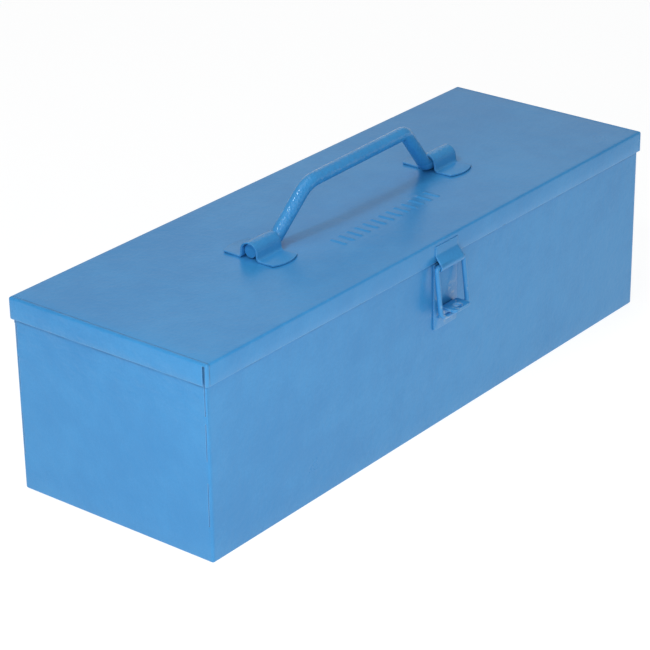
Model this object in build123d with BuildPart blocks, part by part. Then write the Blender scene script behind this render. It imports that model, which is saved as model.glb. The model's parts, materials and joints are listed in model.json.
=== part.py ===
"""Sheet-steel toolbox with a lift-out tray: long box, flanged lid on a piano hinge, swinging
bail handle in two saddle clips, and a hasp whose wire loop drops over a padlock staple.

Millimetres, +Z up, X along the box, front towards -Y, origin at the middle of the base."""

from build123d import *
import math
import os

os.makedirs("parts", exist_ok=True)

# ---- driving dimensions ---------------------------------------------------------------------

sheet = 0.8  # box, lid and tray are folded from this
strip = 1.2  # heavier strip for the clips, staple and tray handle

lid_length = 450.0
lid_width = 153.2
lid_top = 127.4
flange_depth = 13.8
lid_bend = 1.4  # outside radius where the lid's top turns into its flanges
corner_slot = 2.0  # open corner between an end flange and the front flange
lid_clearance = 0.85  # between a flange and the box wall inside it
rim_gap = 0.4  # between the box's rim and the underside of the lid

bottom_bend = 2.0  # outside radius of the bends round the base
hem_depth = 9.0  # the rim is folded inwards and down by this
hem_gap = 0.3
hem_setback = 3.0  # the hem stops short of each corner
tab_width = 12.0  # corner tabs behind the end walls
seam_width = 0.5  # visible joint at each upright corner
seam_foot = 24.0
tack_welds = ((51.6, 65.7), (89.2, 94.2))  # heights at which the seam is filled

rib_count = 13  # stamped ribs in front of the handle
rib_width = 3.2
rib_length = 12.5
rib_pitch = 8.0
rib_height = 0.7
rib_centre_x = 1.8
rib_centre_y = -28.7

hinge_length = 441.0
knuckle_count = 15
knuckle_gap = 0.5
knuckle_radius = 2.1
hinge_pin_radius = 1.2
hinge_running_fit = 0.06
hinge_axis_drop = 1.2  # axis below the lower edge of the lid's flange
leaf_height = 16.0

bar_radius = 4.5
handle_x = 1.7  # the handle and its clips stand a little off the lid's middle
handle_y = -2.2
handle_lean = 7.2  # degrees, towards the front
foot_half_span = 77.1
grip_half_span = 49.7
grip_rise_left = 29.3  # the bar is bent by hand, so its two sides differ a little
grip_rise_right = 31.4
foot_bend = 6.0
grip_bend_left = 20.0
grip_bend_right = 10.5
bar_end_recess = 1.8  # bar ends stop inside the clips by this
bar_end_chamfer = 0.8

clip_width = 23.4
clip_inner_end = 78.8  # from the handle's middle to the near edge of a clip
clip_play = 0.6
clip_foot_radius = 2.2
ear_reach = 19.3  # from the handle's axis to the corners of an ear
ear_bulge = 3.1  # the end of each ear is a shallow arc
ear_corner = 1.2

strap_width = 23.5
strap_sheet = 1.0
strap_top_drop = 3.1  # below the top of the lid
strap_straight = 6.0
strap_bend = 4.0
loop_axis_proud = 2.8  # loop axis in front of the flange
loop_axis_drop = 16.2  # loop axis below the top of the lid
wire_radius = 1.6
loop_play = 0.15
loop_half_width = 14.0
loop_length = 32.8
loop_lean = 6.5  # degrees, foot outwards
loop_top_bend = 2.2
loop_foot_bend = 5.0
loop_joint_gap = 0.4  # butt joint of the wire, inside the curl

plate_width = 24.0
plate_foot = 67.5
plate_top = 112.6
plate_corner = 1.5
lug_half_width = 8.5
lug_sheet = 1.8
lug_underside = 82.0
lug_reach = 13.8  # from the face of the plate
lug_foot = 75.0
lug_bend = 2.6
lug_round = 4.0
padlock_hole = 6.0
padlock_hole_reach = 9.4  # hole centre from the face of the plate

tray_play = 1.4  # between the tray and the box's hem
tray_depth = 38.0
tray_headroom = 6.2  # between the tray's rim and the underside of the lid
tray_bend = 1.6
tray_hem_depth = 6.0
divider_x = 76.0
divider_height = 29.0
divider_tab = 9.0
tray_handle_width = 18.0
tray_handle_drop = 1.5  # below the tray's rim
tray_handle_ends = 16.0
tray_handle_bend = 2.4
rivet_radius = 1.6
rivet_head_radius = 2.9
rivet_head_height = 1.0
rivet_spacing = 9.0
rivet_depth = 9.0  # below the top of the tray's handle

ledge_length = 110.0
ledge_shelf = 10.0
ledge_upright = 14.0
ledge_sheet = 1.0
ledge_bend = 1.8
rest_gap = 0.3

# ---- worked-out sizes -----------------------------------------------------------------------

flange_foot = lid_top - flange_depth
body_length = lid_length - 2 * (sheet + lid_clearance)
body_width = lid_width - 2 * (sheet + lid_clearance)
rim_height = lid_top - sheet - rim_gap
hem_thickness = 2 * sheet + hem_gap

hinge_y = lid_width / 2 + knuckle_radius
hinge_z = flange_foot - hinge_axis_drop
knuckle_pitch = hinge_length / knuckle_count
hinge_bore = hinge_pin_radius + hinge_running_fit

handle_z = lid_top + bar_radius + clip_play
bar_end = clip_inner_end + clip_width - bar_end_recess

loop_y = -lid_width / 2 - loop_axis_proud
loop_z = lid_top - loop_axis_drop
plate_face = -body_width / 2 - strip

tray_length = body_length - 2 * (hem_thickness + tray_play)
tray_width = body_width - 2 * (hem_thickness + tray_play)
tray_rim = lid_top - sheet - tray_headroom
tray_floor = tray_rim - tray_depth


# ---- shared shapes --------------------------------------------------------------------------


def folded_box(length, width, floor, rim, bend, hem):
    """A box folded up from one blank, with the top edge of each wall hemmed inwards."""
    fold = hem_thickness / 2
    with BuildPart() as box:
        with BuildSketch(Plane.XY.offset(floor)):
            Rectangle(length, width)
        extrude(amount=rim - fold - floor)
        fillet(box.edges().group_by(Axis.Z)[0], bend)
        offset(amount=-sheet, openings=box.faces().sort_by(Axis.Z)[-1])
        for inward, reach, run in (
            (Vector(0, 1, 0), width / 2, length),
            (Vector(0, -1, 0), width / 2, length),
            (Vector(1, 0, 0), length / 2, width),
            (Vector(-1, 0, 0), length / 2, width),
        ):
            along = inward.cross(Vector(0, 0, 1))
            hem_run = run - 2 * hem_setback
            corner = inward * -reach - along * (hem_run / 2) + Vector(0, 0, rim - fold)
            with BuildSketch(Plane(origin=corner, x_dir=inward, z_dir=along)) as hem_section:
                with Locations((fold, 0)):
                    Circle(fold)
                    Circle(hem_gap / 2, mode=Mode.SUBTRACT)
                    Rectangle(4 * fold, 2 * fold, align=(Align.CENTER, Align.MAX), mode=Mode.SUBTRACT)
                with Locations((hem_thickness - sheet, 0)):
                    Rectangle(sheet, hem, align=(Align.MIN, Align.MAX))
            extrude(amount=hem_run)
    return box.part


def knuckle_starts(first):
    """Left ends of every second knuckle, counted from the left of the hinge."""
    return [-hinge_length / 2 + place * knuckle_pitch for place in range(first, knuckle_count, 2)]


# ---- box ------------------------------------------------------------------------------------

body_blank = folded_box(body_length, body_width, 0, rim_height, bottom_bend, hem_depth)

with BuildPart() as body_shell:
    add(body_blank)
    tab_height = rim_height - hem_depth - 2 * bottom_bend - hem_setback
    with BuildSketch(Plane.XY.offset(bottom_bend)):
        with GridLocations(body_length - 3 * sheet, body_width - 2 * sheet - tab_width, 2, 2):
            Rectangle(sheet, tab_width)
    extrude(amount=tab_height)
    seam_starts = [seam_foot] + [high for low, high in tack_welds]
    seam_stops = [low for low, high in tack_welds] + [rim_height]
    for start, stop in zip(seam_starts, seam_stops):
        with BuildSketch(Plane.XY.offset(start)):
            with GridLocations(body_length - sheet, body_width - seam_width, 2, 2):
                Rectangle(sheet, seam_width)
        extrude(amount=stop - start, mode=Mode.SUBTRACT)

body_shell.part.label = "body_shell"
export_step(body_shell.part, "parts/body_shell.step")

# ---- lid ------------------------------------------------------------------------------------

with BuildPart() as lid_shell:
    with BuildSketch(Plane.XY.offset(flange_foot)):
        RectangleRounded(lid_length, lid_width, sheet + 0.4)
    extrude(amount=flange_depth)
    fillet(lid_shell.edges().group_by(Axis.Z)[-1], lid_bend)
    offset(amount=-sheet, openings=lid_shell.faces().sort_by(Axis.Z)[0])
    slot_spacing = lid_width - 2 * sheet - corner_slot
    with BuildSketch(Plane.XY.offset(flange_foot)):
        with Locations((0, -slot_spacing / 2)):
            with GridLocations(lid_length - sheet, 0, 2, 1):
                Rectangle(3 * sheet, corner_slot)
    extrude(amount=flange_depth - lid_bend, mode=Mode.SUBTRACT)
    with BuildSketch(Plane.XY.offset(lid_top)):
        with Locations((rib_centre_x, rib_centre_y)):
            with GridLocations(rib_pitch, 0, rib_count, 1):
                SlotOverall(rib_length, rib_width, rotation=90)
    extrude(amount=rib_height)
    fillet(lid_shell.edges().group_by(Axis.Z)[-1], rib_height / 2)
    with BuildSketch(Plane.XY.offset(lid_top - sheet)):
        with Locations((rib_centre_x, rib_centre_y)):
            with GridLocations(rib_pitch, 0, rib_count, 1):
                SlotOverall(rib_length - sheet, rib_width - sheet, rotation=90)
    extrude(amount=rib_height, mode=Mode.SUBTRACT)

lid_shell.part.label = "lid_shell"
export_step(lid_shell.part, "parts/lid_shell.step")

# ---- piano hinge: two leaves with interleaved knuckles, and one long pin --------------------

knuckle_length = knuckle_pitch - knuckle_gap
relief = knuckle_radius + knuckle_gap  # the other leaf stays this far from the axis
wall_y = body_width / 2
flange_y = lid_width / 2

with BuildPart() as hinge_leaf_body:
    with BuildSketch(Plane.YZ.offset(-hinge_length / 2)):
        with BuildLine():
            Polyline(
                (wall_y, hinge_z - leaf_height),
                (wall_y + sheet, hinge_z - leaf_height),
                (wall_y + sheet, hinge_z - 2.6 * knuckle_radius),
                (flange_y + sheet, hinge_z - 1.6 * knuckle_radius),
                (flange_y + sheet, hinge_z),
                (flange_y, hinge_z),
                (flange_y, hinge_z - 1.4 * knuckle_radius),
                (wall_y, hinge_z - 2.4 * knuckle_radius),
                close=True,
            )
        make_face()
    extrude(amount=hinge_length)
    for start in knuckle_starts(1):
        with Locations((start + knuckle_pitch / 2, hinge_y, hinge_z - relief)):
            Box(
                knuckle_pitch + knuckle_gap,
                4 * knuckle_radius,
                2 * relief,
                align=(Align.CENTER, Align.CENTER, Align.MIN),
                mode=Mode.SUBTRACT,
            )
    for start in knuckle_starts(0):
        with BuildSketch(Plane.YZ.offset(start + knuckle_gap / 2)):
            with Locations((hinge_y, hinge_z)):
                Circle(knuckle_radius)
                Circle(hinge_pin_radius, mode=Mode.SUBTRACT)
        extrude(amount=knuckle_length)

hinge_leaf_body.part.label = "hinge_leaf_body"
export_step(hinge_leaf_body.part, "parts/hinge_leaf_body.step")

with BuildPart() as hinge_leaf_lid:
    with BuildSketch(Plane.YZ.offset(-hinge_length / 2)):
        with Locations((flange_y, hinge_z)):
            Rectangle(sheet, flange_depth - lid_bend, align=(Align.MIN, Align.MIN))
    extrude(amount=hinge_length)
    for start in knuckle_starts(0):
        with Locations((start + knuckle_pitch / 2, hinge_y, hinge_z + relief)):
            Box(
                knuckle_pitch + knuckle_gap,
                4 * knuckle_radius,
                2 * relief,
                align=(Align.CENTER, Align.CENTER, Align.MAX),
                mode=Mode.SUBTRACT,
            )
    for start in knuckle_starts(1):
        with BuildSketch(Plane.YZ.offset(start + knuckle_gap / 2)):
            with Locations((hinge_y, hinge_z)):
                Circle(knuckle_radius)
                Circle(hinge_bore, mode=Mode.SUBTRACT)
        extrude(amount=knuckle_length)

hinge_leaf_lid.part.label = "hinge_leaf_lid"
export_step(hinge_leaf_lid.part, "parts/hinge_leaf_lid.step")

with BuildPart() as hinge_pin:
    with BuildSketch(Plane.YZ.offset(-hinge_length / 2)):
        with Locations((hinge_y, hinge_z)):
            Circle(hinge_pin_radius)
    extrude(amount=hinge_length)
    chamfer(hinge_pin.edges().filter_by(GeomType.CIRCLE), 0.25)

hinge_pin.part.label = "hinge_pin"
export_step(hinge_pin.part, "parts/hinge_pin.step")

# ---- handle: a round bar, bent up from two pivot feet ----------------------------------------

handle_tilt = math.radians(handle_lean)
handle_plane = Plane(
    origin=(handle_x, handle_y, handle_z),
    x_dir=(1, 0, 0),
    z_dir=(0, -math.cos(handle_tilt), -math.sin(handle_tilt)),
)

with BuildPart() as handle_bar:
    with BuildLine(handle_plane):
        FilletPolyline(
            (-bar_end, 0),
            (-foot_half_span, 0),
            (-grip_half_span, grip_rise_left),
            (grip_half_span, grip_rise_right),
            (foot_half_span, 0),
            (bar_end, 0),
            radius=[foot_bend, grip_bend_left, grip_bend_right, foot_bend],
        )
    with BuildSketch(Plane.YZ.offset(handle_x - bar_end)):
        with Locations((handle_y, handle_z)):
            Circle(bar_radius)
    sweep()
    chamfer(handle_bar.edges().sort_by(Axis.X)[0], bar_end_chamfer)
    chamfer(handle_bar.edges().sort_by(Axis.X)[-1], bar_end_chamfer)

handle_bar.part.label = "handle_bar"
export_step(handle_bar.part, "parts/handle_bar.step")

# ---- saddle clips: strip humped over a foot of the handle, its ears flat on the lid ----------

hump = bar_radius + clip_play + strip / 2
ear_bend = clip_foot_radius + strip / 2
ear_level = lid_top + strip / 2
ear_tip = ear_reach + ear_bulge

for side, clip_start in (
    ("left", handle_x - clip_inner_end - clip_width),
    ("right", handle_x + clip_inner_end),
):
    with BuildPart() as saddle_clip:
        with BuildSketch(Plane.YZ.offset(clip_start)):
            with BuildLine():
                Line((handle_y - ear_tip, ear_level), (handle_y - hump - ear_bend, ear_level))
                CenterArc((handle_y - hump - ear_bend, ear_level + ear_bend), ear_bend, -90, 90)
                Line((handle_y - hump, ear_level + ear_bend), (handle_y - hump, handle_z))
                CenterArc((handle_y, handle_z), hump, 180, -180)
                Line((handle_y + hump, handle_z), (handle_y + hump, ear_level + ear_bend))
                CenterArc((handle_y + hump + ear_bend, ear_level + ear_bend), ear_bend, 180, 90)
                Line((handle_y + hump + ear_bend, ear_level), (handle_y + ear_tip, ear_level))
            trace(line_width=strip)
        extrude(amount=clip_width)
        with BuildSketch(Plane.XY.offset(lid_top)):
            with BuildLine(Plane(origin=(clip_start, handle_y, lid_top))):
                Line((0, ear_reach), (0, -ear_reach))
                ThreePointArc((0, -ear_reach), (clip_width / 2, -ear_tip), (clip_width, -ear_reach))
                Line((clip_width, -ear_reach), (clip_width, ear_reach))
                ThreePointArc((clip_width, ear_reach), (clip_width / 2, ear_tip), (0, ear_reach))
            make_face()
        extrude(amount=4 * hump, mode=Mode.INTERSECT)
        upright = saddle_clip.edges().filter_by(Axis.Z).group_by(Axis.Y)
        fillet(upright[0] + upright[-1], ear_corner)
    saddle_clip.part.label = f"saddle_clip_{side}"
    export_step(saddle_clip.part, f"parts/saddle_clip_{side}.step")

# ---- hasp: a strap on the front flange, curled round the top of a wire loop -------------------

curl_radius = wire_radius + loop_play + strap_sheet / 2
strap_y = -lid_width / 2 - strap_sheet / 2
strap_top = lid_top - strap_top_drop
strap_turn = strap_top - strap_straight
to_axis = math.hypot(loop_y - strap_y, loop_z - strap_turn)
slope = math.atan2(loop_z - strap_turn, loop_y - strap_y) - math.asin(curl_radius / to_axis)
slope_run = math.sqrt(to_axis**2 - curl_radius**2)
curl_start = (strap_y + slope_run * math.cos(slope), strap_turn + slope_run * math.sin(slope))
curl_angle = math.degrees(math.atan2(curl_start[1] - loop_z, curl_start[0] - loop_y))
curl_stop = 375.0

with BuildPart() as hasp_strap:
    with BuildSketch(Plane.YZ.offset(-strap_width / 2)):
        with BuildLine():
            FilletPolyline((strap_y, strap_top), (strap_y, strap_turn), curl_start, radius=strap_bend)
            CenterArc((loop_y, loop_z), curl_radius, curl_angle, curl_stop - curl_angle)
        trace(line_width=strap_sheet)
    extrude(amount=strap_width)

hasp_strap.part.label = "hasp_strap"
export_step(hasp_strap.part, "parts/hasp_strap.step")

lean = math.radians(loop_lean)
loop_plane = Plane(
    origin=(0, loop_y, loop_z),
    x_dir=(1, 0, 0),
    z_dir=(0, -math.cos(lean), math.sin(lean)),
)

with BuildPart() as hasp_loop:
    with BuildLine(loop_plane):
        FilletPolyline(
            (loop_joint_gap / 2, 0),
            (loop_half_width, 0),
            (loop_half_width, -loop_length),
            (-loop_half_width, -loop_length),
            (-loop_half_width, 0),
            (-loop_joint_gap / 2, 0),
            radius=[loop_top_bend, loop_foot_bend, loop_foot_bend, loop_top_bend],
        )
    with BuildSketch(Plane.YZ.offset(loop_joint_gap / 2)):
        with Locations((loop_y, loop_z)):
            Circle(wire_radius)
    sweep()

hasp_loop.part.label = "hasp_loop"
export_step(hasp_loop.part, "parts/hasp_loop.step")

# ---- staple: a plate on the front of the box, and a lug that stands out through the loop ------

with BuildPart() as staple_plate:
    with BuildSketch(Plane.XZ.offset(body_width / 2)):
        with Locations((0, (plate_foot + plate_top) / 2)):
            RectangleRounded(plate_width, plate_top - plate_foot, plate_corner)
    extrude(amount=strip)

staple_plate.part.label = "staple_plate"
export_step(staple_plate.part, "parts/staple_plate.step")

with BuildPart() as staple_lug:
    lug_level = lug_underside + lug_sheet / 2
    lug_back = plate_face - lug_sheet / 2
    with BuildSketch(Plane.YZ.offset(-lug_half_width)):
        with BuildLine():
            FilletPolyline(
                (lug_back, lug_foot),
                (lug_back, lug_level),
                (plate_face - lug_reach, lug_level),
                radius=lug_bend,
            )
        trace(line_width=lug_sheet)
    extrude(amount=2 * lug_half_width)
    fillet(staple_lug.edges().filter_by(Axis.Z).group_by(Axis.Y)[0], lug_round)
    with Locations((0, plate_face - padlock_hole_reach, lug_level)):
        Cylinder(padlock_hole / 2, 2 * lug_sheet, mode=Mode.SUBTRACT)

staple_lug.part.label = "staple_lug"
export_step(staple_lug.part, "parts/staple_lug.step")

# ---- tray: a hemmed box with two dividers and a strap handle between them ---------------------

tray_blank = folded_box(tray_length, tray_width, tray_floor, tray_rim, tray_bend, tray_hem_depth)

with BuildPart() as tray_shell:
    add(tray_blank)

tray_shell.part.label = "tray_shell"
export_step(tray_shell.part, "parts/tray_shell.step")

handle_top = tray_rim - tray_handle_drop
rivet_z = handle_top - rivet_depth
divider_span = tray_width - 2 * sheet
rivet_row = [(0, -rivet_spacing / 2, 0), (0, rivet_spacing / 2, 0)]

for side, outward in (("left", -1), ("right", 1)):
    divider_inner = outward * divider_x
    with BuildPart() as tray_divider:
        with BuildSketch(Plane.XY.offset(tray_floor + tray_bend)):
            with BuildLine():
                FilletPolyline(
                    (divider_inner + outward * divider_tab, -divider_span / 2 + sheet / 2),
                    (divider_inner + outward * sheet / 2, -divider_span / 2 + sheet / 2),
                    (divider_inner + outward * sheet / 2, divider_span / 2 - sheet / 2),
                    (divider_inner + outward * divider_tab, divider_span / 2 - sheet / 2),
                    radius=tray_bend,
                )
            trace(line_width=sheet)
        extrude(amount=divider_height)
        with Locations((divider_inner, 0, rivet_z)):
            with Locations(*rivet_row):
                Cylinder(rivet_radius, 4 * sheet, rotation=(0, 90, 0), mode=Mode.SUBTRACT)
    tray_divider.part.label = f"tray_divider_{side}"
    export_step(tray_divider.part, f"parts/tray_divider_{side}.step")

with BuildPart() as tray_handle:
    end_x = divider_x - strip / 2
    with BuildSketch(Plane.XZ.offset(-tray_handle_width / 2)):
        with BuildLine():
            FilletPolyline(
                (-end_x, handle_top - tray_handle_ends),
                (-end_x, handle_top - strip / 2),
                (end_x, handle_top - strip / 2),
                (end_x, handle_top - tray_handle_ends),
                radius=tray_handle_bend,
            )
        trace(line_width=strip)
    extrude(amount=tray_handle_width)
    with Locations((-end_x, 0, rivet_z), (end_x, 0, rivet_z)):
        with Locations(*rivet_row):
            Cylinder(rivet_radius, 4 * strip, rotation=(0, 90, 0), mode=Mode.SUBTRACT)

tray_handle.part.label = "tray_handle"
export_step(tray_handle.part, "parts/tray_handle.step")

with BuildPart() as tray_handle_rivets:
    dome_radius = (rivet_head_radius**2 + rivet_head_height**2) / (2 * rivet_head_height)
    for outward in (-1, 1):
        for across in (-rivet_spacing / 2, rivet_spacing / 2):
            head_face = outward * (divider_x - strip)
            tail_face = outward * (divider_x + sheet)
            rivet_plane = Plane(
                origin=(head_face, across, rivet_z),
                x_dir=(0, 0, 1),
                z_dir=(-outward, 0, 0),
            )
            with BuildSketch(Plane(origin=rivet_plane.origin, x_dir=(0, 0, 1), z_dir=(0, 1, 0))):
                with BuildLine():
                    Line((0, 0), (rivet_head_radius, 0))
                    RadiusArc(
                        (rivet_head_radius, 0),
                        (0, rivet_head_height * -outward),
                        dome_radius * outward,
                    )
                    Line((0, rivet_head_height * -outward), (0, 0))
                make_face()
            revolve(axis=Axis(rivet_plane.origin, (1, 0, 0)))
            with BuildSketch(rivet_plane):
                Circle(rivet_radius)
            extrude(amount=-(strip + sheet))
            with BuildSketch(Plane(origin=(tail_face, across, rivet_z), z_dir=(outward, 0, 0))):
                Circle(rivet_head_radius - sheet / 2)
            extrude(amount=rivet_head_height / 2)

tray_handle_rivets.part.label = "tray_handle_rivets"
export_step(tray_handle_rivets.part, "parts/tray_handle_rivets.step")

# ---- ledges inside the end walls, which carry the tray ---------------------------------------

for side, outward in (("left", -1), ("right", 1)):
    wall_x = outward * (body_length / 2 - sheet)
    upright_x = wall_x - outward * ledge_sheet / 2
    shelf_z = tray_floor - rest_gap - ledge_sheet / 2
    with BuildPart() as tray_ledge:
        with BuildSketch(Plane.XZ.offset(-ledge_length / 2)):
            with BuildLine():
                FilletPolyline(
                    (upright_x, shelf_z - ledge_upright),
                    (upright_x, shelf_z),
                    (wall_x - outward * ledge_shelf, shelf_z),
                    radius=ledge_bend,
                )
            trace(line_width=ledge_sheet)
        extrude(amount=ledge_length)
    tray_ledge.part.label = f"tray_ledge_{side}"
    export_step(tray_ledge.part, f"parts/tray_ledge_{side}.step")
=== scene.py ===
# %% [markdown]
# # A blue enamelled toolbox with a tray
#
# The imported model holds every part of the toolbox at full size, in metres, with Z up and
# the hasp towards -Y. This lesson builds the finished look round it: soft folded sheet, bent
# bar and wire, and one enamel, rippled like orange peel and paler on edges for thin paint and a painted highlight.

import json
import math

import bmesh
import bpy
from mathutils import Matrix, Vector, noise


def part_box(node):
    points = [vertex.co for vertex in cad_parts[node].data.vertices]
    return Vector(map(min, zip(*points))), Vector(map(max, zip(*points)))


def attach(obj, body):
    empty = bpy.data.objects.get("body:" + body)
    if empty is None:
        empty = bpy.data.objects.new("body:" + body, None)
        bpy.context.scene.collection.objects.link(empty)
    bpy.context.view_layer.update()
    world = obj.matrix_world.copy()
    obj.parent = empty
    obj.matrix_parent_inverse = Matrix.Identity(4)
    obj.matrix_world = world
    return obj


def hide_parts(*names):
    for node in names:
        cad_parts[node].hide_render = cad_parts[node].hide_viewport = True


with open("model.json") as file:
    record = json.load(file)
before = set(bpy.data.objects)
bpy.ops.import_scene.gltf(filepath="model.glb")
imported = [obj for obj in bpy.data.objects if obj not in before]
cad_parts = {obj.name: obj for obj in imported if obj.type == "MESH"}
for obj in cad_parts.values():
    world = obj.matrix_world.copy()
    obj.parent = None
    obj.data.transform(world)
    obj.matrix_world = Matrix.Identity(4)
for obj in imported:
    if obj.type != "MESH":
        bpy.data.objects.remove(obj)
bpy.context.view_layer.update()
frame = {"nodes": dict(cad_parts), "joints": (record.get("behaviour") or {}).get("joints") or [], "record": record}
print("nodes", sorted(frame["nodes"]))

# %% [markdown]
# ## Camera and light
#
# Product shots of a long box use a long lens from well back, so that its edges stay nearly
# parallel. The camera is placed by azimuth and elevation round a point near the box's middle.

# %% Camera
camera_aim = Vector((0.0041, 0.0232, 0.0378))
camera_distance = 1.6263
camera_azimuth = math.radians(-51.26)
camera_elevation = math.radians(25.17)
camera_roll = math.radians(-0.852)

camera_back = Vector((
    math.sin(camera_azimuth) * math.cos(camera_elevation),
    -math.cos(camera_azimuth) * math.cos(camera_elevation),
    math.sin(camera_elevation),
))
level_right = (-camera_back).cross(Vector((0, 0, 1))).normalized()
level_up = camera_back.cross(level_right)
camera_right = level_right * math.cos(camera_roll) + level_up * math.sin(camera_roll)
camera_up = level_up * math.cos(camera_roll) - level_right * math.sin(camera_roll)

bpy.ops.object.camera_add()
camera = bpy.context.object
camera.name = "camera"
turn = Matrix((camera_right, camera_up, camera_back)).transposed().to_4x4()
camera.matrix_world = Matrix.Translation(camera_aim + camera_back * camera_distance) @ turn
camera.data.sensor_width = 36.0
camera.data.lens = 138.18
camera.data.clip_start = 0.05
camera.data.clip_end = 50.0
bpy.context.scene.camera = camera
print("camera", [round(v, 3) for v in camera.location], "lens", camera.data.lens)

# %% [markdown]
# Glossy paint shows what stands round it. Here that is a pale studio on a luminous white
# table: the table lights the upright walls from below, so they come out brighter than the
# lid. A softbox near the front left corner makes both walls fall off to the right, one far
# behind lays a grey veil on the lid, one overhead brightens the lid evenly, and a small one
# gives the bright streak on the bent bar.


# %% Lights
def soft_light(name, direction, distance, size, radiance, colour=(1, 1, 1)):
    """A square softbox that faces the box from a direction; radiance is how bright it looks."""
    aim = Vector((0, 0, 0.07))
    place = aim + Vector(direction).normalized() * distance
    bpy.ops.object.light_add(type="AREA", location=place)
    lamp = bpy.context.object
    lamp.name = name
    lamp.data.shape = "SQUARE"
    lamp.data.size = size
    lamp.data.energy = radiance * math.pi * size * size
    lamp.data.color = colour
    lamp.rotation_euler = (place - aim).to_track_quat("Z", "Y").to_euler()
    print(name, "watts", round(lamp.data.energy, 2))


soft_light("softbox_back", (0.70, 0.60, 0.50), 1.9, 1.2, 0.45)
soft_light("softbox_near", (-0.75, -0.62, 0.42), 0.9, 0.6, 2.6, (0.93, 0.98, 1.0))
soft_light("softbox_top", (-0.15, 0.05, 1.0), 1.6, 1.1, 1.6)
soft_light("softbox_left", (-0.64, 0.04, 0.77), 2.0, 0.20, 62.0, (0.9, 0.97, 1.0))

# %% Studio walls
scene = bpy.context.scene
scene.view_settings.view_transform = "Standard"
scene.world = bpy.data.worlds.new("pale_studio")
scene.world.use_nodes = True
walls = scene.world.node_tree
wall_light = walls.nodes["Background"]
wall_light.inputs["Color"].default_value = (0.965, 0.985, 1.0, 1)
wall_light.inputs["Strength"].default_value = 0.3

print("studio ready")

# %% [markdown]
# ## Shader maths
#
# A Math node for every plus and times makes a long script, so a small class wraps an output
# socket and lets Python's own signs add the nodes. Everything else goes through one method.


# %% Node helpers
class Value:
    """An output socket that can be added to, taken from and multiplied."""

    def __init__(self, finish, socket):
        self.finish = finish
        self.socket = socket

    def maths(self, operation, first, second):
        return self.finish.node("Math", {"operation": operation}, {0: first, 1: second})

    def __add__(self, other):
        return self.maths("ADD", self, other)

    def __sub__(self, other):
        return self.maths("SUBTRACT", self, other)

    def __rsub__(self, other):
        return self.maths("SUBTRACT", other, self)

    def __mul__(self, other):
        return self.maths("MULTIPLY", self, other)

    __radd__ = __add__


class Finish:
    """A material under construction, with its main shader."""

    def __init__(self, name):
        self.material = bpy.data.materials.new(name)
        self.material.use_nodes = True
        self.nodes = self.material.node_tree.nodes
        self.links = self.material.node_tree.links
        self.shader = self.nodes["Principled BSDF"]

    def plug(self, socket, value):
        if isinstance(value, Value):
            self.links.new(value.socket, socket)
        else:
            socket.default_value = value

    def node(self, kind, settings, sockets, output=0):
        """Any node: its type, its settings, and the values or links of its sockets."""
        made = self.nodes.new("ShaderNode" + kind)
        for name, value in settings.items():
            setattr(made, name, value)
        for name, value in sockets.items():
            self.plug(made.inputs[name], value)
        return Value(self, made.outputs[output])

    def pattern(self, place, scale, detail, roughness=0.5):
        sockets = {"Vector": place, "Scale": scale, "Detail": detail, "Roughness": roughness}
        return self.node("TexNoise", {}, sockets)

    def ramp(self, value, low, high):
        """0 below low, 1 above high, and a soft step between."""
        sockets = {"Value": value, "From Min": low, "From Max": high}
        return self.node("MapRange", {"interpolation_type": "SMOOTHSTEP"}, sockets)

    def blend(self, share, colour, other):
        return self.node("Mix", {"data_type": "RGBA"}, {0: share, 6: colour, 7: other}, output=2)

    def edges(self, radius):
        """How sharply the surface turns within radius: 0 on flats, rising on edges."""
        rounded = self.node("Bevel", {"samples": 6}, {"Radius": radius})
        true = self.node("NewGeometry", {}, {}, output="True Normal")
        alike = self.node("VectorMath", {"operation": "DOT_PRODUCT"}, {0: rounded, 1: true}, output=1)
        return 1 - alike


# %% [markdown]
# ## The light table
#
# The table glows evenly enough to look pure white, but its lamps stand near the front left
# corner, so the box gets less and less of its light towards the far end. A gradient by
# distance from the lamps drives the emission's colour.

# %% Light table
bpy.ops.mesh.primitive_plane_add(size=12.0, location=(0, 0, -0.0002))
floor = bpy.context.object
floor.name = "light_table"
table = Finish("light_table")
place = table.node("TexCoord", {}, {}, output="Object")
from_lamps = table.node(
    "VectorMath", {"operation": "DISTANCE"}, {0: place, 1: (-0.45, -0.45, 0)}, output="Value"
)
far_glow = (0.86, 0.86, 0.86, 1)
glow = table.blend(1 - table.ramp(from_lamps, 0.22, 1.0), far_glow, (1, 1, 1, 1))
table.plug(table.shader.inputs["Emission Color"], glow)
table.shader.inputs["Emission Strength"].default_value = 1.0
table.shader.inputs["Base Color"].default_value = (0.2, 0.2, 0.2, 1)
table.shader.inputs["Roughness"].default_value = 0.9
table.shader.inputs["Specular IOR Level"].default_value = 0.1
floor.data.materials.append(table.material)
print("light table ready")
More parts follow.
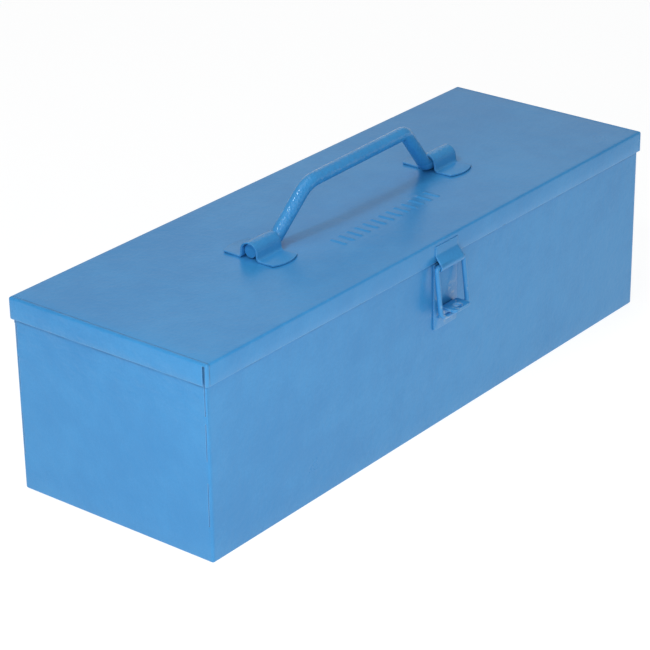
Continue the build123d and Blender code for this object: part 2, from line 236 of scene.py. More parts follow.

# %% [markdown]
# ## Light-blue enamel
#
# The box was put together first and sprayed afterwards, so one coat covers sheet, bar and
# wire alike. It is glossy but not flat: the spray dried with an orange peel two or three
# millimetres across and deepest on the bar, it ran a little down the end walls just below the
# lid, its tone drifts slowly over the panels, and it is here and there chipped on the edges.
# A paler blue on the edges is thin paint and also a painted highlight, a padlock has scuffed
# the lug and what lies close round it, and a darker thin line on the walls below the lid's flange is painted
# shade.

# %% Enamel
enamel = Finish("blue_enamel")
place = enamel.node("TexCoord", {}, {}, output="Object")
drift = enamel.pattern(place, 7.0, 2.0)
mottle = enamel.pattern(place, 60.0, 4.0)
speckle = enamel.pattern(place, 900.0, 2.0)
deep_blue = (0.036, 0.250, 0.565, 1)
pale_blue = (0.048, 0.292, 0.625, 1)
thin_paint_highlight_blue = (0.240, 0.460, 0.690, 1)
dark_steel = (0.085, 0.090, 0.105, 1)
flange_shade_blue = (0.020, 0.105, 0.270, 1)
scuff_grey = (0.42, 0.52, 0.60, 1)
tone = enamel.ramp(drift * 0.45 + mottle * 0.3 + speckle * 0.25, 0.36, 0.64)
coat = enamel.blend(tone, deep_blue, pale_blue)

height = enamel.node("SeparateXYZ", {}, {0: place}, output="Z")
body_low, body_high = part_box("body_shell")
beyond = []
for name, wall in (("X", body_high.x), ("Y", body_high.y)):
    along = enamel.node("SeparateXYZ", {}, {0: place}, output=name)
    out = enamel.node("Math", {"operation": "ABSOLUTE"}, {0: along})
    beyond.append(enamel.ramp(out, wall - 0.0012, wall - 0.0004))
on_end, on_long_side = beyond
lid_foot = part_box("lid_shell")[0].z
# Painted shade: a darker band on the walls just under the lid's flange, where the flange shades them.
flange_shade = enamel.ramp(height, lid_foot - 0.0026, lid_foot - 0.0012)
flange_shade = flange_shade * (1 - enamel.ramp(height, lid_foot - 0.0002, lid_foot))
flange_shade = flange_shade * enamel.ramp(mottle, 0.40, 0.60) * (on_end + on_long_side)
coat = enamel.blend(flange_shade * 0.32, coat, flange_shade_blue)

padlock_hole = frame["record"]["mounts"][1]
padlock_place = padlock_hole["pos_m"]
from_padlock = enamel.node(
    "VectorMath", {"operation": "DISTANCE"}, {0: place, 1: padlock_place}, output="Value"
)
handled = 1 - enamel.ramp(from_padlock, 0.007, 0.024)
edge = enamel.edges(0.0009)
# Paler edges: partly thin, worn paint, partly a painted highlight that makes the edges read as light lines.
worn_and_highlit_edge = enamel.ramp(edge * (mottle + 0.35), 0.03, 0.14)
coat = enamel.blend(worn_and_highlit_edge * (0.6 + handled * 0.3), coat, thin_paint_highlight_blue)
nicks = enamel.pattern(place, 240.0, 3.0, 0.62)
scuffed = enamel.ramp(nicks, 0.57, 0.63) * handled
coat = enamel.blend(scuffed * 0.55, coat, scuff_grey)
chipped = enamel.ramp(edge, 0.05, 0.16) * enamel.ramp(nicks + handled * 0.05, 0.635, 0.665)
coat = enamel.blend(chipped * 0.85, coat, dark_steel)
enamel.plug(enamel.shader.inputs["Base Color"], coat)

smear = enamel.pattern(place, 22.0, 5.0, 0.6)
lid_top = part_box("saddle_clip_left")[0].z
on_bar = enamel.ramp(height, lid_top + 0.006, lid_top + 0.010)
gloss = 0.24 + smear * 0.12 + chipped * 0.3 - on_bar * 0.20
enamel.plug(enamel.shader.inputs["Roughness"], gloss)
enamel.shader.inputs["IOR"].default_value = 1.43

# %% Orange peel and runs in the enamel
peel = enamel.pattern(place, 330.0, 1.5, 0.45) * 0.00015
fine_peel = enamel.pattern(place, 900.0, 1.0) * 0.00003
thick_peel = enamel.pattern(place, 560.0, 2.0, 0.5) * on_bar * 0.0005
swell = enamel.pattern(place, 75.0, 2.0) * 0.0003
under_lid = enamel.ramp(height, lid_foot - 0.048, lid_foot - 0.012)
run_place = enamel.node("Mapping", {}, {"Vector": place, "Scale": (1.0, 0.5, 1.1)})
runs = enamel.pattern(run_place, 150.0, 2.5, 0.5) * on_end * under_lid * 0.0008
chip_step = chipped * -0.00005
relief = peel + fine_peel + thick_peel + swell + runs + chip_step
bump = enamel.node("Bump", {}, {"Strength": 1.0, "Distance": 1.0, "Height": relief})
enamel.plug(enamel.shader.inputs["Normal"], bump)
print("enamel nodes", len(enamel.nodes))

# %% [markdown]
# ## Bright steel
#
# The hinge pin and the tray's rivets went in after painting. They are zinc-plated: grey,
# faintly cloudy, with short scratches that catch the light.

# %% Steel
steel = Finish("bare_steel")
place = steel.node("TexCoord", {}, {}, output="Object")
bloom = steel.pattern(place, 260.0, 3.0)
tone = steel.blend(steel.ramp(bloom, 0.35, 0.7), (0.42, 0.43, 0.45, 1), (0.66, 0.67, 0.68, 1))
steel.plug(steel.shader.inputs["Base Color"], tone)
steel.shader.inputs["Metallic"].default_value = 1.0
steel.plug(steel.shader.inputs["Roughness"], 0.24 + bloom * 0.22)
scratch_place = steel.node("Mapping", {}, {"Vector": place, "Scale": (0.12, 1.0, 1.0)})
scratches = steel.pattern(scratch_place, 2600.0, 2.0) * 0.00001
bump = steel.node("Bump", {}, {"Strength": 0.6, "Distance": 1.0, "Height": scratches})
steel.plug(steel.shader.inputs["Normal"], bump)
print("steel nodes", len(steel.nodes))

# %% [markdown]
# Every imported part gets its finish. The hinge leaves, the hinge pin and the tray's rivets keep
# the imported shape, and the other parts are replaced below, one by one.

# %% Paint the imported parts
slot_finish = {"blue_enamel": enamel.material, "bare_steel": steel.material}
slot_of = {part["node"]: part["material_slot"] for part in frame["record"]["subparts"]}
for name, node in frame["nodes"].items():
    node.data.materials.clear()
    node.data.materials.append(slot_finish[slot_of[name]])
print("painted", len(slot_of), "nodes")

# %% [markdown]
# ## The sheet-metal bench
#
# Bar, wire, strip and the hemmed rims are made in the same two moves: run straight on, and
# bend round a radius. In edit mode those are an extrude and a spin of whatever is selected. A
# path is given as corners with a radius for each, the way a bending drawing gives it.


# %% Selecting and bending
def rest_hands():
    """Leave edit mode and let go of everything, because a tool acts on all that is selected."""
    if bpy.context.mode != "OBJECT":
        bpy.ops.object.mode_set(mode="OBJECT")
    bpy.ops.object.select_all(action="DESELECT")


def choose(piece, kind, test):
    """In edit mode, select only the VERTs, EDGEs or FACEs whose corners all pass the test."""
    bpy.ops.mesh.select_mode(type=kind)
    bpy.ops.mesh.select_all(action="DESELECT")
    mesh = bmesh.from_edit_mesh(piece.data)
    parts = {"VERT": mesh.verts, "EDGE": mesh.edges, "FACE": mesh.faces}[kind]
    for part in parts:
        corners = [part.co] if kind == "VERT" else [v.co for v in part.verts]
        if all(test(corner) for corner in corners):
            part.select_set(True)
    mesh.select_flush_mode()
    bmesh.update_edit_mesh(piece.data)


def path_steps(corners, radii):
    """Straight runs and signed bends of a flat path, each inner corner rounded by its radius."""
    steps = []
    taken = 0.0
    for i in range(1, len(corners)):
        leg = Vector(corners[i]) - Vector(corners[i - 1])
        if i == len(corners) - 1:
            steps.append(("run", leg.length - taken))
            break
        ahead = Vector(corners[i + 1]) - Vector(corners[i])
        turn = math.atan2(leg.x * ahead.y - leg.y * ahead.x, leg.dot(ahead))
        cut = radii[i - 1] * math.tan(abs(turn) / 2)
        steps.append(("run", leg.length - taken - cut))
        steps.append(("bend", radii[i - 1], turn))
        taken = cut
    return steps


def lay(steps, place, heading, side, bend_cuts=6):
    """Carry the selected edges along the steps; a left bend turns towards side."""
    axle = heading.cross(side)
    for step in steps:
        if step[0] == "run":
            if step[1] >= 1e-7:
                ahead = heading * step[1]
                bpy.ops.mesh.extrude_region_move(TRANSFORM_OT_translate={"value": ahead})
                place = place + ahead
            continue
        radius, turn = step[1:]
        centre = place + axle.cross(heading) * math.copysign(radius, turn)
        bpy.ops.mesh.spin(steps=bend_cuts, angle=-turn, center=centre, axis=axle)
        swing = Matrix.Rotation(turn, 3, axle)
        place = centre + swing @ (place - centre)
        heading = swing @ heading
    return place, heading


# %% Bars and strips
def bent_bar(name, radius, corners, radii, origin, right, up, facets=28, end_soft=0.18):
    """A round bar along a flat path; right and up are the directions of the path's plane."""
    rest_hands()
    corners = [Vector(corner) for corner in corners]
    heading = (corners[1] - corners[0]).normalized()
    heading = right * heading.x + up * heading.y
    axle = right.cross(up)
    start = origin + right * corners[0].x + up * corners[0].y
    bpy.ops.mesh.primitive_circle_add(
        vertices=facets,
        radius=radius,
        location=start,
        rotation=heading.to_track_quat("Z", "Y").to_euler(),
        fill_type="NOTHING",
    )
    bar = bpy.context.object
    bar.name = name
    bpy.ops.object.transform_apply(location=True, rotation=True, scale=True)
    bpy.ops.object.mode_set(mode="EDIT")
    bpy.ops.mesh.select_all(action="SELECT")
    steps = path_steps(corners, radii)
    stop, far_heading = lay(steps, start, heading, axle.cross(heading), bend_cuts=12)
    for centre, outward in ((stop, far_heading), (start, -heading)):
        choose(bar, "VERT", lambda co: abs((co - centre).dot(outward)) < 1e-6
               and (co - centre).length < 1.01 * radius)
        for push, shrink in ((end_soft * 0.7, 1 - end_soft * 0.35), (end_soft * 0.3, 1 - end_soft)):
            bpy.ops.mesh.extrude_region_move(
                TRANSFORM_OT_translate={"value": outward * radius * push}
            )
            bpy.ops.transform.resize(value=(shrink,) * 3, center_override=centre)
        bpy.ops.mesh.edge_face_add()
    close_up(bar)
    return bar


def close_up(piece):
    """Merge doubles, turn the faces outwards, and count open edges; thin sheet still has them."""
    bpy.ops.mesh.select_mode(type="VERT")
    bpy.ops.mesh.select_all(action="SELECT")
    bpy.ops.mesh.remove_doubles(threshold=1e-6)
    bpy.ops.mesh.normals_make_consistent(inside=False)
    mesh = bmesh.from_edit_mesh(piece.data)
    gaps = sum(1 for e in mesh.edges if not e.is_manifold)
    print(piece.name, "faces", len(mesh.faces), "open edges", gaps)
    rest_hands()


def strip_start(name, across, heading, width, place, run, cuts):
    """The first straight run of a strip, with its leading edge left selected in edit mode."""
    rest_hands()
    bpy.ops.mesh.primitive_grid_add(x_subdivisions=cuts, y_subdivisions=1, size=1)
    strip = bpy.context.object
    strip.name = name
    columns = (across * width, heading * run, across.cross(heading), place + heading * (run / 2))
    strip.matrix_world = Matrix([list(c) + [0] for c in columns[:3]]
                                + [list(columns[3]) + [1]]).transposed()
    bpy.ops.object.transform_apply(location=True, rotation=True, scale=True)
    bpy.ops.object.mode_set(mode="EDIT")
    front = place + heading * run
    choose(strip, "EDGE", lambda co: abs((co - front).dot(heading)) < 1e-7)
    return strip, front


def bent_strip(name, width, corners, radii, origin, right, up, cuts=8):
    """A strip along a flat path, as a sheet with no thickness yet, left in edit mode."""
    steps = path_steps(corners, radii)
    first = (Vector(corners[1]) - Vector(corners[0])).normalized()
    heading = right * first.x + up * first.y
    place = origin + right * corners[0][0] + up * corners[0][1]
    axle = right.cross(up)
    strip, place = strip_start(name, axle, heading, width, place, steps[0][1], cuts)
    lay(steps[1:], place, heading, axle.cross(heading))
    return strip


def modifier(piece, kind, **settings):
    """Add a modifier, set it and apply it at once."""
    rest_hands()
    piece.select_set(True)
    bpy.context.view_layer.objects.active = piece
    bpy.ops.object.modifier_add(type=kind)
    added = piece.modifiers[-1]
    for name, value in settings.items():
        setattr(added, name, value)
    bpy.ops.object.modifier_apply(modifier=added.name)


def give_thickness(piece, thickness, offset, soft, degrees=50):
    """Thicken a sheet, soften its edges unless soft is 0, and close it up."""
    modifier(piece, "SOLIDIFY", thickness=thickness, offset=offset, use_even_offset=True)
    if soft:
        modifier(piece, "BEVEL", width=soft, segments=2, limit_method="ANGLE",
                 angle_limit=math.radians(degrees), use_clamp_overlap=True)
    bpy.ops.object.mode_set(mode="EDIT")
    close_up(piece)


def finish_piece(piece, body, *nodes, slot="blue_enamel", smooth=35):
    """Shade, paint and hang a piece on its body, in place of its nodes."""
    rest_hands()
    piece.select_set(True)
    bpy.context.view_layer.objects.active = piece
    bpy.ops.object.shade_smooth_by_angle(angle=math.radians(smooth))
    piece.data.materials.clear()
    piece.data.materials.append(slot_finish[slot])
    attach(piece, body)
    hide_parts(*nodes)
    triangles = sum(len(face.vertices) - 2 for face in piece.data.polygons)
    print(piece.name, "rides on", body, "triangles", triangles)


AHEAD_X = Vector((1, 0, 0))
AHEAD_Y = Vector((0, 1, 0))
AHEAD_Z = Vector((0, 0, 1))
mm = 0.001
joints = {joint["name"]: joint for joint in frame["joints"]}
print("bench ready, joints", sorted(joints))

# %% [markdown]
# ## The handle
#
# One round bar, bent by hand: its left bend came out wider and lower than its right one, and
# it leans a little towards the front. The bar is laid along its path in its own leaning
# plane, and its cut ends are rounded over slightly.

# %% Bend the handle
handle_axis = Vector(joints["handle_swing"]["pos_m"])
bar_low, bar_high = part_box("handle_bar")
bar_radius = 4.5 * mm
bar_end = (bar_high.x - bar_low.x) / 2
bar_chamfer = 0.8 * mm
foot_half_span = 77.1 * mm
grip_half_span = 49.7 * mm
left_rise = 29.3 * mm
right_rise = 31.4 * mm
lean = math.radians(7.2)
bar_up = Vector((0, -math.sin(lean), math.cos(lean)))
handle = bent_bar(
    "bent_handle",
    bar_radius,
    [
        (-bar_end + bar_chamfer, 0), (-foot_half_span, 0), (-grip_half_span, left_rise),
        (grip_half_span, right_rise), (foot_half_span, 0), (bar_end - bar_chamfer, 0),
    ],
    [6 * mm, 20 * mm, 10.5 * mm, 6 * mm],
    handle_axis,
    AHEAD_X,
    bar_up,
)
finish_piece(handle, "handle", "handle_bar")

# %% [markdown]
# ## Saddle clips
#
# Each clip is a strip humped over one foot of the handle. Its ears lie on the lid, with ends
# cut to a shallow arc that stand off the lid a little, and the press left the front of the
# hump leaning. The strip is bent along its path, its end rows are moved on to the arc, and it
# gets its thickness last. The second clip is a copy of the first.


# %% Press the saddle clips
def copy_piece(piece, name, shift):
    """A copy with a mesh of its own, moved in the mesh."""
    double = piece.copy()
    double.data = piece.data.copy()
    double.name = name
    double.data.transform(Matrix.Translation(shift))
    bpy.context.collection.objects.link(double)
    return double


strip_sheet = 1.2 * mm
clip_low, clip_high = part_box("saddle_clip_left")
clip_width = clip_high.x - clip_low.x
ear_tip = (clip_high.y - clip_low.y) / 2
ear_bulge = 3.1 * mm
clip_play = 0.6 * mm
hump = bar_radius + clip_play + strip_sheet / 2
ear_level = lid_top + strip_sheet / 2
hump_top = handle_axis.z + hump
front_lean = 1.1 * mm
tip_lift = 0.16 * mm
corner_lift = 0.22 * mm
clip_middle = Vector(((clip_low.x + clip_high.x) / 2, handle_axis.y, 0))

saddle = bent_strip(
    "saddle_left",
    clip_width,
    [
        (-ear_tip, ear_level), (-hump - front_lean, ear_level), (-hump, hump_top),
        (hump, hump_top), (hump, ear_level), (ear_tip, ear_level),
    ],
    [2.6 * mm, hump, hump, 2.2 * mm],
    clip_middle,
    AHEAD_Y,
    AHEAD_Z,
    cuts=14,
)
rest_hands()
for corner in saddle.data.vertices:
    out = corner.co.y - clip_middle.y
    along = 2 * (corner.co.x - clip_middle.x) / clip_width
    if abs(out) > ear_tip - 1e-6:
        corner.co.y -= math.copysign(ear_bulge * along * along, out)
        corner.co.z += tip_lift + corner_lift * along * along
give_thickness(saddle, strip_sheet, 0.0, 0.3 * mm)
far_clip = Vector((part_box("saddle_clip_right")[0].x - clip_low.x, 0, 0))
saddle_right = copy_piece(saddle, "saddle_right", far_clip)
finish_piece(saddle, "lid", "saddle_clip_left")
finish_piece(saddle_right, "lid", "saddle_clip_right")

# %% [markdown]
# ## The hasp
#
# A strap on the lid's front flange is curled round the top of a wire loop, which hangs over
# a lug on the box. The strap is bent in one go: down the flange, out, and round the wire. Paint
# fills the joint behind it, so it lies a little way into the flange. The loop is one wire,
# butted together inside the curl.

# %% Curl the strap
loop_axis = Vector(joints["hasp_swing"]["pos_m"])
strap_low, strap_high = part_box("hasp_strap")
strap_sheet = 1.0 * mm
wire_radius = 1.6 * mm
curl_play = 0.15 * mm
curl_radius = wire_radius + curl_play + strap_sheet / 2
paint_fill = 0.4 * mm
strap_y = strap_high.y - strap_sheet / 2 + paint_fill
strap_straight = 6.0 * mm
strap_bend = 4.0 * mm
strap_turn = strap_high.z - strap_straight
from_turn = Vector((loop_axis.y - strap_y, loop_axis.z - strap_turn))
slope = math.atan2(from_turn.y, from_turn.x) - math.asin(curl_radius / from_turn.length)
slope_run = math.sqrt(from_turn.length ** 2 - curl_radius ** 2)
curl_start = (strap_y + slope_run * math.cos(slope), strap_turn + slope_run * math.sin(slope))
curl_from = math.atan2(curl_start[1] - loop_axis.z, curl_start[0] - loop_axis.y)
curl_end = math.radians(372)
curl_turn = curl_end - curl_from

strap_steps = path_steps(
    [(strap_y, strap_high.z), (strap_y, strap_turn), curl_start], [strap_bend]
)
strap, strap_place = strip_start(
    "hasp_strap_curled",
    AHEAD_X,
    -AHEAD_Z,
    strap_high.x - strap_low.x,
    Vector((0, strap_y, strap_high.z)),
    strap_steps[0][1],
    10,
)
strap_place, strap_heading = lay(strap_steps[1:], strap_place, -AHEAD_Z, AHEAD_Y, bend_cuts=5)
lay([("bend", curl_radius, curl_turn)], strap_place, strap_heading,
    AHEAD_X.cross(strap_heading), bend_cuts=14)
give_thickness(strap, strap_sheet, 0.0, 0.28 * mm)
finish_piece(strap, "lid", "hasp_strap")

# %% Bend the wire loop
loop_lean = math.radians(6.5)
loop_up = Vector((0, math.sin(loop_lean), math.cos(loop_lean)))
loop_half = 14 * mm
loop_drop = 32.8 * mm
half_butt = 0.2 * mm
wire_loop = bent_bar(
    "wire_loop",
    wire_radius,
    [
        (half_butt, 0), (loop_half, 0), (loop_half, -loop_drop),
        (-loop_half, -loop_drop), (-loop_half, 0), (-half_butt, 0),
    ],
    [2.2 * mm, 5 * mm, 5 * mm, 2.2 * mm],
    loop_axis,
    AHEAD_X,
    loop_up,
    facets=20,
)
finish_piece(wire_loop, "loop", "hasp_loop")

# %% [markdown]
# ## The staple
#
# A plate is spot-welded to the front of the box, and a lug stands out from it through the
# loop. The plate starts as a block whose corners are rounded and whose rim is softened. The
# lug is bent from strip, its front corners are rounded in edit mode, and its padlock hole is
# cut with a Boolean modifier once it has its thickness.


# %% Plate and lug
def block(name, low, high):
    """A block between two corners, selected and in edit mode."""
    rest_hands()
    bpy.ops.mesh.primitive_cube_add(size=1, location=(low + high) / 2, scale=high - low)
    made = bpy.context.object
    made.name = name
    bpy.ops.object.transform_apply(location=True, rotation=True, scale=True)
    bpy.ops.object.mode_set(mode="EDIT")
    return made


def bevel_lines(piece, test, radius, segments):
    """Round the edges whose two ends pass the test together."""
    bpy.ops.mesh.select_mode(type="EDGE")
    bpy.ops.mesh.select_all(action="DESELECT")
    lines = bmesh.from_edit_mesh(piece.data)
    for line in lines.edges:
        if test(line.verts[0].co, line.verts[1].co):
            line.select_set(True)
    bmesh.update_edit_mesh(piece.data)
    bpy.ops.mesh.bevel(offset=radius, segments=segments, affect="EDGES")


def cut_out(piece, cutter):
    """Cut the cutter's shape out of the piece and throw the cutter away."""
    modifier(piece, "BOOLEAN", operation="DIFFERENCE", object=cutter, solver="EXACT")
    bpy.data.objects.remove(cutter)


plate_round = 1.5 * mm
lug_bend = 2.6 * mm
lug_round = 2.6 * mm
plate_low, plate_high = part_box("staple_plate")
plate = block("staple_plate_soft", plate_low, plate_high)
bevel_lines(plate, lambda a, b: abs(a.y - b.y) > 0.5 * mm, plate_round, 4)
close_up(plate)
modifier(plate, "BEVEL", width=0.3 * mm, segments=2, limit_method="ANGLE",
         angle_limit=math.radians(50))
finish_piece(plate, "box", "staple_plate")

lug_low, lug_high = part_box("staple_lug")
lug_sheet = 1.8 * mm
lug_level = lug_high.z - lug_sheet / 2
lug_back = lug_high.y - lug_sheet / 2
lug = bent_strip(
    "staple_lug_bent",
    lug_high.x - lug_low.x,
    [(lug_back, lug_low.z), (lug_back, lug_level), (lug_low.y, lug_level)],
    [lug_bend],
    Vector((0, 0, 0)),
    AHEAD_Y,
    AHEAD_Z,
    cuts=6,
)
choose(lug, "VERT", lambda co: co.y < lug_low.y + 1e-6 and abs(co.x) > lug_high.x - 1e-6)
bpy.ops.mesh.bevel(offset=lug_round, segments=5, affect="VERTICES")
give_thickness(lug, lug_sheet, 0.0, 0)
hole = Vector(padlock_place)
hole_radius = padlock_hole["dims"]["r_mm"] * mm
rest_hands()
bpy.ops.mesh.primitive_cylinder_add(vertices=40, radius=hole_radius, depth=4 * lug_sheet,
                                    location=(hole.x, hole.y, lug_level))
cut_out(lug, bpy.context.object)
modifier(lug, "BEVEL", width=0.28 * mm, segments=2, limit_method="ANGLE",
         angle_limit=math.radians(50))
finish_piece(lug, "box", "staple_lug")

# %% [markdown]
# ## Panels that are never quite flat
#
# Thin sheet bulges and dips by a fraction of a millimetre between its folds and welds, and
# gloss makes that plain to see. Panels are scored into cells with bisect cuts, and smooth
# noise then pushes them in and out, fading to nothing where a fold or a weld holds them.


# %% Scoring and swelling
def score(axis, places):
    """Cut the whole mesh across an axis at each place."""
    normal = [0, 0, 0]
    normal[axis] = 1
    for at in places:
        bpy.ops.mesh.select_all(action="SELECT")
        point = [0, 0, 0]
        point[axis] = at
        bpy.ops.mesh.bisect(plane_co=point, plane_no=normal)


def even(low, high, cell):
    """Evenly spaced places between low and high, about a cell apart, without the ends."""
    count = max(1, round((high - low) / cell))
    return [low + (high - low) * i / count for i in range(1, count)]


def soft_step(value):
    value = min(1.0, max(0.0, value))
    return value * value * (3 - 2 * value)


fold_reach = 22 * mm
weld_reach = 18 * mm
slow_waves = 9.0
quick_waves = 24.0


def swelling(co, axis, low, high, depth, held=()):
    """How far a panel across an axis stands in or out at a point."""
    fade = 1.0
    for other in range(3):
        if other != axis:
            to_edge = min(co[other] - low[other], high[other] - co[other])
            fade *= soft_step(to_edge / fold_reach)
    for middle, reach in held:
        fade *= soft_step(((co - middle).length - reach) / weld_reach)
    slow = noise.noise(co * slow_waves + Vector((axis * 7.3, 1.7, 4.1)))
    quick = noise.noise(co * quick_waves + Vector((2.9, axis * 5.1, 8.3)))
    return depth * fade * (slow + 0.35 * quick)


# %% [markdown]
# ## The lid
#
# The lid is pressed from one sheet: a flat top, soft bends, and four flanges with an open
# slot at each front corner. A row of short stamped ribs stands in front of the handle. A block is
# bevelled, opened below and scored; the rib field is divided finely and raised by a smooth
# formula, so that front and back of the sheet follow the stamp together.

# %% Press the lid
sheet = 0.8 * mm
lid_low, lid_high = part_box("lid_shell")
lid_bend = 1.45 * mm
lid_block_high = Vector((lid_high.x, lid_high.y, lid_top))
lid = block("lid_pressed", lid_low, lid_block_high)


def not_bottom(a, b):
    return max(a.z, b.z) > lid_low.z + 1e-6


bevel_lines(lid, not_bottom, lid_bend, 4)
choose(lid, "FACE", lambda co: co.z < lid_low.z + 1e-6)
bpy.ops.mesh.delete(type="FACE")
slot_wide = 2.0 * mm
slot_outer = lid_high.y - lid_bend
slot_inner = slot_outer - slot_wide
rib_x = 1.8 * mm
rib_y = -28.7 * mm
rib_pitch = 8.0 * mm
rib_half = 6.3 * mm
rib_waist = 1.75 * mm
rib_count = 13
rib_height = 0.62 * mm
rib_spread = 1.25
field_wide = 7 * rib_pitch
field_deep = 9.5 * mm
field_low = Vector((rib_x - field_wide, rib_y - field_deep, 0))
field_high = Vector((rib_x + field_wide, rib_y + field_deep, 0))
lid_cell = 11 * mm
score(0, even(lid_low.x, lid_high.x, lid_cell) + [field_low.x, field_high.x])
score(1, even(-slot_inner, slot_inner, lid_cell) + [-slot_inner, slot_inner])
score(1, [field_low.y, field_high.y])
score(2, [lid_low.z + 0.4 * (lid_top - lid_low.z)])


def in_slot(co):
    return (abs(co.x) > lid_high.x - 1e-6 and co.z < lid_top - lid_bend + 1e-6
            and -slot_outer - 1e-6 < co.y < -slot_inner + 1e-6)


choose(lid, "FACE", in_slot)
bpy.ops.mesh.delete(type="FACE")
choose(lid, "FACE", lambda co: co.z > lid_top - 1e-6
       and field_low.x - 1e-6 < co.x < field_high.x + 1e-6
       and field_low.y - 1e-6 < co.y < field_high.y + 1e-6)
bpy.ops.mesh.subdivide(number_cuts=15)
close_up(lid)


# %% Stamp the ribs and let the sheet swell
def rib_rise(co):
    """Height of the stamped ribs at a point on the lid."""
    nearest = rib_x + rib_pitch * round((co.x - rib_x) / rib_pitch)
    if abs(nearest - rib_x) > rib_pitch * (rib_count - 1) / 2 + 1e-6:
        return 0.0
    past_end = max(0.0, abs(co.y - rib_y) - (rib_half - rib_waist))
    away = math.hypot(co.x - nearest, past_end)
    return rib_height * soft_step(rib_spread * (1 - away / (rib_spread * rib_waist)))


clip_hold = 22 * mm
rib_hold = 10 * mm
strap_hold = 18 * mm
lid_held = [
    (clip_middle + Vector((0, 0, lid_top)), clip_hold),
    (clip_middle + far_clip + Vector((0, 0, lid_top)), clip_hold),
    (Vector((rib_x, rib_y, lid_top)), rib_hold),
    (Vector((0, lid_low.y, lid_top)), strap_hold),
]
top_swell = 0.42 * mm
flange_wave = 0.3 * mm
end_wave = 0.22 * mm
front_waves = 16.0
end_waves = 20.0
strap_fade = 60 * mm
strap_still = 0.3
for corner in lid.data.vertices:
    co = corner.co.copy()
    if co.z > lid_top - 0.5 * mm:
        corner.co.z += rib_rise(co) + swelling(co, 2, lid_low, lid_high, top_swell, lid_held)
    elif co.y < lid_low.y + 1e-6:
        fade = soft_step(abs(co.x) / strap_fade - strap_still)
        fade = fade * (lid_top - co.z) / (lid_top - lid_low.z)
        corner.co.y += flange_wave * fade * noise.noise(co * front_waves)
    elif abs(co.x) > lid_high.x - 1e-6:
        fade = (lid_top - co.z) / (lid_top - lid_low.z)
        corner.co.x += math.copysign(end_wave * fade * noise.noise(co * end_waves), co.x)
give_thickness(lid, sheet, -1.0, 0.18 * mm, 60)
finish_piece(lid, "lid", "lid_shell")

# %% [markdown]
# ## Box and tray
#
# Box and tray are folded the same way, so one function makes both: a block with rounded
# folds, opened at the top, whose rim turns over into a hem that stops short of the corners.
# A shallow groove runs up each corner where two walls meet, and tack welds fill it in places
# on the box.


# %% Fold a box
hem_gap = 0.3 * mm
wall_cell = 13 * mm
groove_inset = 0.3 * mm
groove_half = Vector((0.78 * sheet, 0.27 * mm, 0))


def folded_box(name, low, high, hem, swell, held, seams):
    """A folded box with a hemmed rim and corner grooves from and to the heights in seams."""
    fold = (2 * sheet + hem_gap) / 2
    rim = high.z - fold
    bend = 1.6 * mm
    setback = 3.0 * mm
    shell = block(name, low, Vector((high.x, high.y, rim)))
    bevel_lines(shell, lambda a, b: min(a.z, b.z) < rim - 1e-6, bend, 4)
    choose(shell, "FACE", lambda co: co.z > rim - 1e-6)
    bpy.ops.mesh.delete(type="FACE")
    ends = high.x - setback
    sides = high.y - setback
    score(0, even(-ends, ends, wall_cell) + [-ends, ends])
    score(1, even(-sides, sides, wall_cell) + [-sides, sides])
    score(2, even(low.z, rim, wall_cell))
    for toward, reach in ((AHEAD_Y, high.y), (-AHEAD_Y, high.y), (AHEAD_X, high.x),
                          (-AHEAD_X, high.x)):
        axis = 0 if abs(toward.x) > 0.5 else 1
        across = 1 - axis
        limit = sides if axis == 0 else ends
        choose(shell, "EDGE", lambda co: co.z > rim - 1e-6
               and co.dot(toward) < -reach + 1e-6 and abs(co[across]) < limit + 1e-6)
        lay([("bend", fold, math.pi), ("run", hem - fold)],
            toward * -reach + AHEAD_Z * rim, AHEAD_Z, toward)
    close_up(shell)
    for corner in shell.data.vertices:
        co = corner.co.copy()
        for axis in (0, 1):
            if abs(co[axis]) > high[axis] - 1e-6:
                push = swelling(co, axis, low, high, swell, held)
                corner.co[axis] -= math.copysign(push, co[axis])
    give_thickness(shell, sheet, -1.0, 0)
    rest_hands()
    cutters = []
    for side_x in (-1, 1):
        for side_y in (-1, 1):
            for start, stop in seams:
                middle = Vector((side_x * high.x, side_y * (high.y - bend - groove_inset),
                                 (start + stop) / 2))
                half = groove_half + AHEAD_Z * ((stop - start) / 2)
                cutters.append(block("seam_cutter", middle - half, middle + half))
                rest_hands()
    for cutter in cutters:
        cutter.select_set(True)
    bpy.context.view_layer.objects.active = cutters[0]
    bpy.ops.object.join()
    cut_out(shell, cutters[0])
    modifier(shell, "BEVEL", width=0.14 * mm, segments=2, limit_method="ANGLE",
             angle_limit=math.radians(60), use_clamp_overlap=True)
    return shell


seam_heights = ((24, 51.6), (65.7, 89.2), (94.2, 125.5))
body_seams = [(start * mm, stop * mm) for start, stop in seam_heights]
plate_middle = (plate_low + plate_high) / 2
box_shell = folded_box("box_folded", body_low, body_high, 9 * mm, 0.34 * mm,
                       [(plate_middle, 30 * mm)], body_seams)
finish_piece(box_shell, "box", "body_shell")

tray_low, tray_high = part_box("tray_shell")
tray_seam = [(tray_low.z + 5 * mm, tray_high.z - 1.2 * mm)]
tray = folded_box("tray_folded", tray_low, tray_high, 6 * mm, 0.2 * mm, [], tray_seam)
finish_piece(tray, "tray", "tray_shell")

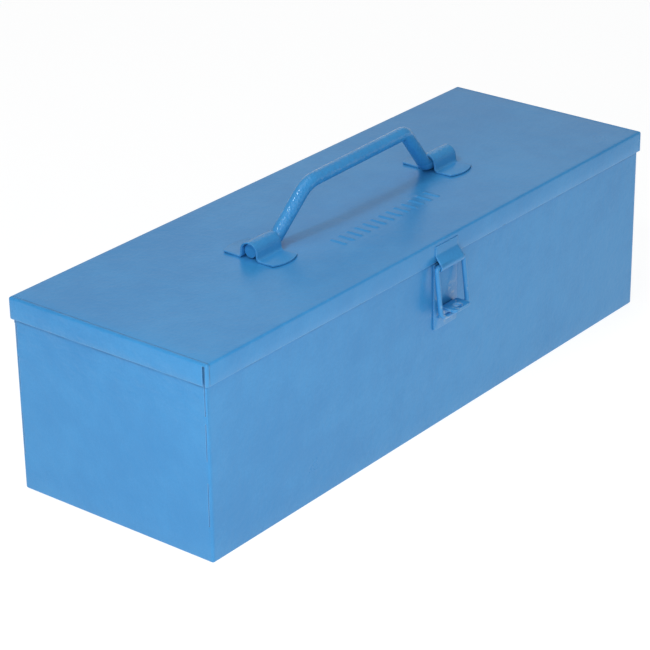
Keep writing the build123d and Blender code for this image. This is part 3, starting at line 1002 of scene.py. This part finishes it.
# %% [markdown]
# ## Inside the tray and the box
#
# Two dividers stand across the tray, with a strap handle between them, and two ledges in the
# box carry the tray. All are short bends of strip, made at the same bench.


# %% Dividers, tray handle and ledges
def strip_piece(name, node, thickness, bend, width, corners, origin, right, up, body):
    """A strip bent with one radius throughout, in place of one node."""
    radii = [bend] * (len(corners) - 2)
    piece = bent_strip(name, width, corners, radii, origin, right, up, cuts=10)
    give_thickness(piece, thickness, 0.0, 0.2 * mm)
    finish_piece(piece, body, node)


tray_strap_bend = 2.4 * mm
divider_bend = 1.6 * mm
ledge_bend = 1.8 * mm
ledge_sheet = 1.0 * mm
tray_strap_low, tray_strap_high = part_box("tray_handle")
strap_end = tray_strap_high.x - strip_sheet / 2
strap_level = tray_strap_high.z - strip_sheet / 2
strip_piece(
    "tray_strap", "tray_handle", strip_sheet, tray_strap_bend,
    tray_strap_high.y - tray_strap_low.y,
    [(-strap_end, tray_strap_low.z), (-strap_end, strap_level), (strap_end, strap_level),
     (strap_end, tray_strap_low.z)],
    Vector((0, 0, 0)), AHEAD_X, AHEAD_Z, "tray",
)
for side, outward in (("left", -1), ("right", 1)):
    low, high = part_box(f"tray_divider_{side}")
    inner = (high.x if outward < 0 else low.x) + outward * sheet / 2
    outer = low.x if outward < 0 else high.x
    reach = high.y - sheet / 2
    strip_piece(
        f"divider_{side}", f"tray_divider_{side}", sheet, divider_bend, high.z - low.z,
        [(outer, -reach), (inner, -reach), (inner, reach), (outer, reach)],
        Vector((0, 0, (low.z + high.z) / 2)), AHEAD_X, AHEAD_Y, "tray",
    )
    low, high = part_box(f"tray_ledge_{side}")
    upright = (low.x if outward < 0 else high.x) - outward * ledge_sheet / 2
    shelf_end = high.x if outward < 0 else low.x
    shelf = high.z - ledge_sheet / 2
    strip_piece(
        f"ledge_{side}", f"tray_ledge_{side}", ledge_sheet, ledge_bend, high.y - low.y,
        [(upright, low.z), (upright, shelf), (shelf_end, shelf)],
        Vector((0, 0, 0)), AHEAD_X, AHEAD_Z, "box",
    )
